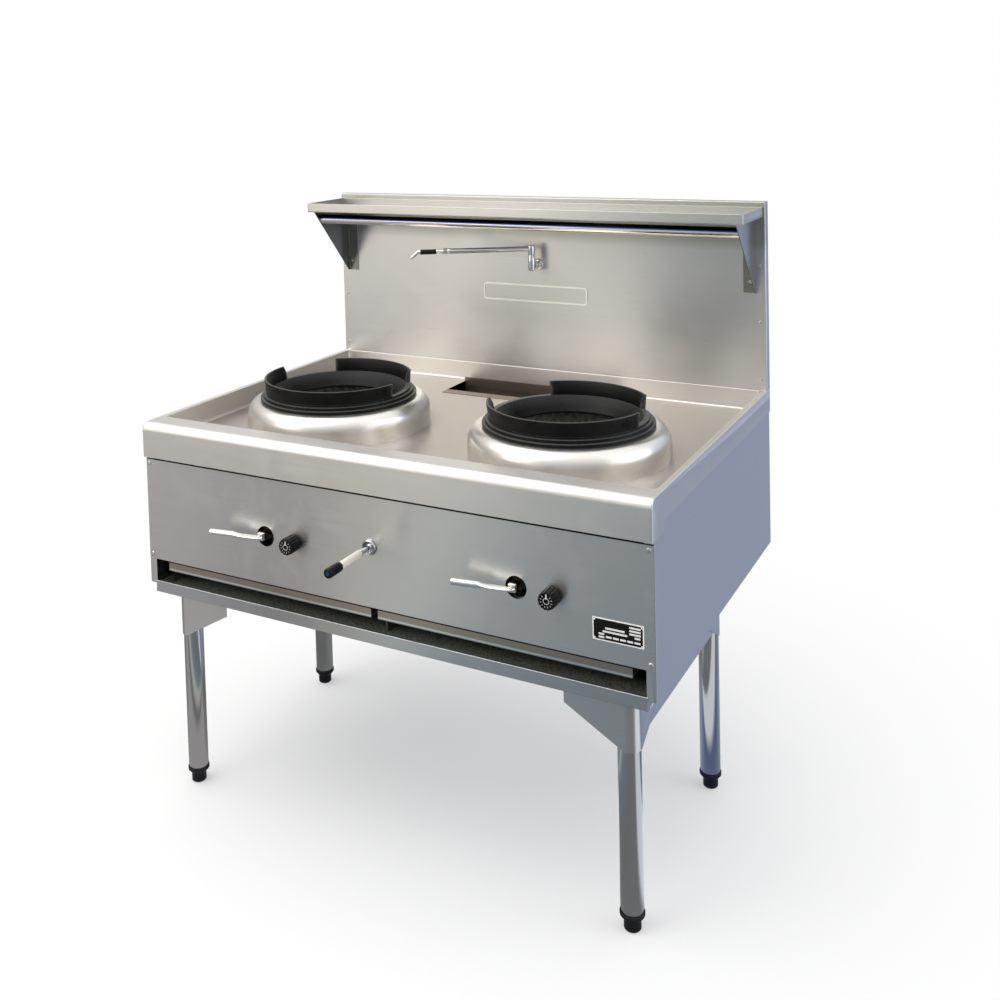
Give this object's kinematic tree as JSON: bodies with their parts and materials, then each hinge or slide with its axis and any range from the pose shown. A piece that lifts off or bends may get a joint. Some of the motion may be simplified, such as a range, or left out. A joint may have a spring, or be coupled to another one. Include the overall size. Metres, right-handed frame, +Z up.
{
  "type": "wok range",
  "caption": "Freestanding gas wok range with lift-off rings on domes, sunken deck with drain basket, lever and knob controls, swing tap, plate shelf and tube legs.",
  "frame": {"origin": "on the floor, in the middle of the range's width and of its depth with the water lever's reach", "axes": "+Z up, -Y towards the cook, +X to the cook's right"},
  "size_m": [1.2, 0.991, 1.295],
  "materials": {
    "stainless": "brushed stainless sheet",
    "fasteners": "plain stainless screws",
    "chrome": "polished chrome plate",
    "cast_iron": "black cast iron",
    "brass": "turned brass",
    "pipe": "plain steel pipe",
    "black_plastic": "black moulded plastic",
    "foot_plastic": "black nylon",
    "plate": "printed aluminium plate, left blank"
  },
  "bodies": {
    "range": {"deck": "stainless", "splash_skin": "stainless", "splash_back_cover": "stainless", "shelf": "stainless", "bracket_left": "stainless", "bracket_right": "stainless", "rail_tube": "stainless", "front_panel": "stainless", "side_panel_left": "stainless", "side_panel_right": "stainless", "back_panel": "stainless", "bottom_tray": "stainless", "side_rails": "stainless", "gussets": "stainless", "tray_runners": "stainless", "drain_well": "stainless", "dome_left": "stainless", "dome_right": "stainless", "burner_beams": "stainless", "waste_outlet": "stainless", "leg_front_left": "stainless", "leg_front_right": "stainless", "leg_back_left": "stainless", "leg_back_right": "stainless", "splash_screws": "fasteners", "panel_screws": "fasteners", "bracket_bolts": "fasteners", "tap_body": "chrome", "water_valve": "chrome", "fire_chambers": "cast_iron", "burner_left": "cast_iron", "burner_right": "cast_iron", "burner_jets": "brass", "gas_cocks": "brass", "pilot_valves": "brass", "gas_manifold": "pipe", "burner_pipes": "pipe", "pilot_pipes": "pipe", "water_pipes": "pipe", "data_plate": "plate"},
    "gas_lever_left": {"gas_lever_left": "chrome"},
    "gas_lever_right": {"gas_lever_right": "chrome"},
    "pilot_spindle_left": {"pilot_spindle_left": "brass"},
    "pilot_spindle_right": {"pilot_spindle_right": "brass"},
    "knob_left": {"knob_left": "black_plastic"},
    "knob_right": {"knob_right": "black_plastic"},
    "water_lever": {"water_lever": "chrome", "water_grip": "black_plastic"},
    "tap_spout": {"tap_spout": "chrome", "tap_grip": "black_plastic"},
    "wok_ring_left": {"wok_ring_left": "cast_iron"},
    "wok_ring_right": {"wok_ring_right": "cast_iron"},
    "strainer_basket": {"strainer_basket": "stainless"},
    "drip_tray_left": {"drip_tray_left": "stainless"},
    "drip_tray_right": {"drip_tray_right": "stainless"},
    "foot_front_left": {"foot_front_left": "foot_plastic"},
    "foot_front_right": {"foot_front_right": "foot_plastic"},
    "foot_back_left": {"foot_back_left": "foot_plastic"},
    "foot_back_right": {"foot_back_right": "foot_plastic"}
  },
  "joints": [
    {"name": "gas_lever_left_turn", "type": "hinge", "parent": "range", "child": "gas_lever_left", "pos_m": [-0.265, -0.3465, 0.64], "axis": [0, 1, 0], "range_deg": [0, 90]},
    {"name": "gas_lever_right_turn", "type": "hinge", "parent": "range", "child": "gas_lever_right", "pos_m": [0.327, -0.3465, 0.64], "axis": [0, 1, 0], "range_deg": [0, 90]},
    {"name": "pilot_left_push", "type": "slide", "parent": "range", "child": "pilot_spindle_left", "axis": [0, 1, 0], "range_m": [0, 0.004], "stiffness_N_per_m": 600, "springref_m": -0.002},
    {"name": "knob_left_turn", "type": "hinge", "parent": "pilot_spindle_left", "child": "knob_left", "pos_m": [-0.189, -0.3665, 0.635], "axis": [0, -1, 0], "range_deg": [0, 90]},
    {"name": "pilot_right_push", "type": "slide", "parent": "range", "child": "pilot_spindle_right", "axis": [0, 1, 0], "range_m": [0, 0.004], "stiffness_N_per_m": 600, "springref_m": -0.002},
    {"name": "knob_right_turn", "type": "hinge", "parent": "pilot_spindle_right", "child": "knob_right", "pos_m": [0.403, -0.3665, 0.635], "axis": [0, -1, 0], "range_deg": [0, 90]},
    {"name": "water_lever_swing", "type": "hinge", "parent": "range", "child": "water_lever", "pos_m": [0, -0.3445, 0.657], "axis": [0, 0, 1], "range_deg": [-30, 30]},
    {"name": "tap_spout_swing", "type": "hinge", "parent": "range", "child": "tap_spout", "pos_m": [0.012, 0.4305, 1.15], "axis": [0, 0, 1], "range_deg": [-25, 116]},
    {"name": "wok_ring_left_lift", "type": "slide", "parent": "range", "child": "wok_ring_left", "axis": [0, 0, 1], "range_m": [0, 0.15]},
    {"name": "wok_ring_right_lift", "type": "slide", "parent": "range", "child": "wok_ring_right", "axis": [0, 0, 1], "range_m": [0, 0.15]},
    {"name": "strainer_basket_lift", "type": "slide", "parent": "range", "child": "strainer_basket", "axis": [0, 0, 1], "range_m": [0, 0.15]},
    {"name": "drip_tray_left_pull", "type": "slide", "parent": "range", "child": "drip_tray_left", "axis": [0, -1, 0], "range_m": [0, 0.4]},
    {"name": "drip_tray_right_pull", "type": "slide", "parent": "range", "child": "drip_tray_right", "axis": [0, -1, 0], "range_m": [0, 0.4]},
    {"name": "foot_front_left_screw", "type": "hinge", "parent": "range", "child": "foot_front_left", "pos_m": [-0.5265, -0.2925, 0.018], "axis": [0, 0, 1], "continuous": true},
    {"name": "foot_front_right_screw", "type": "hinge", "parent": "range", "child": "foot_front_right", "pos_m": [0.5265, -0.2925, 0.018], "axis": [0, 0, 1], "continuous": true},
    {"name": "foot_back_left_screw", "type": "hinge", "parent": "range", "child": "foot_back_left", "pos_m": [-0.5265, 0.214, 0.018], "axis": [0, 0, 1], "continuous": true},
    {"name": "foot_back_right_screw", "type": "hinge", "parent": "range", "child": "foot_back_right", "pos_m": [0.5265, 0.214, 0.018], "axis": [0, 0, 1], "continuous": true}
  ]
}
